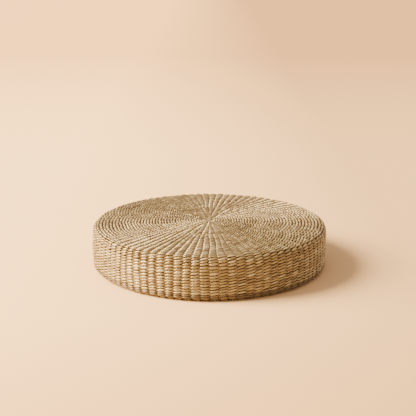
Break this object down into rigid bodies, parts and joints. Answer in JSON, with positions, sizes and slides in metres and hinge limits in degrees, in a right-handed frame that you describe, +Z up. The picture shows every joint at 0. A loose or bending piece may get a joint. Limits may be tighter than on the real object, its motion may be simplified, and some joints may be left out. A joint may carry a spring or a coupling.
{
  "type": "woven seat pad",
  "caption": "Round, flat woven straw seat pad with a foam core, used on a chair or the floor as a firm cushion.",
  "frame": {"origin": "centre of the flat underside, on the surface the pad lies on", "axes": "+Z is up, along the axis of the round pad; X and Y lie in the floor and are alike on a round pad"},
  "size_m": [0.401, 0.401, 0.078],
  "materials": {
    "straw_weave": "natural twisted straw, matt with a slight waxy sheen",
    "straw_border": "natural straw, flatter and yellower strands",
    "straw_stake": "natural straw stems, matt",
    "bag_cloth": "unbleached plain cloth",
    "foam": "open cell foam, matt"
  },
  "bodies": {
    "root": {"top_weft": "straw_weave", "rim_course_top": "straw_weave", "side_weft": "straw_weave", "bottom_weft": "straw_weave", "start_knot": "straw_weave", "finish_knot": "straw_weave", "rim_course_bottom": "straw_border", "stake_01": "straw_stake", "stake_02": "straw_stake", "stake_03": "straw_stake", "stake_04": "straw_stake", "stake_05": "straw_stake", "stake_06": "straw_stake", "stake_07": "straw_stake", "stake_08": "straw_stake", "stake_09": "straw_stake", "stake_10": "straw_stake", "stake_11": "straw_stake", "stake_12": "straw_stake", "stake_13": "straw_stake", "stake_14": "straw_stake", "stake_15": "straw_stake", "stake_16": "straw_stake", "stake_17": "straw_stake", "stake_18": "straw_stake", "stake_19": "straw_stake", "stake_20": "straw_stake", "stake_21": "straw_stake", "stake_22": "straw_stake", "stake_23": "straw_stake", "stake_24": "straw_stake", "stake_25": "straw_stake", "stake_26": "straw_stake", "stake_27": "straw_stake", "stake_28": "straw_stake", "stake_29": "straw_stake", "stake_30": "straw_stake", "stake_31": "straw_stake", "stake_32": "straw_stake", "stake_33": "straw_stake", "stake_34": "straw_stake", "stake_35": "straw_stake", "stake_36": "straw_stake", "stake_37": "straw_stake", "stake_38": "straw_stake", "stake_39": "straw_stake", "stake_40": "straw_stake", "stake_41": "straw_stake", "stake_42": "straw_stake", "stake_43": "straw_stake", "stake_44": "straw_stake", "liner_top": "bag_cloth", "liner_band": "bag_cloth", "liner_bottom": "bag_cloth", "foam_core": "foam"}
  },
  "joints": []
}
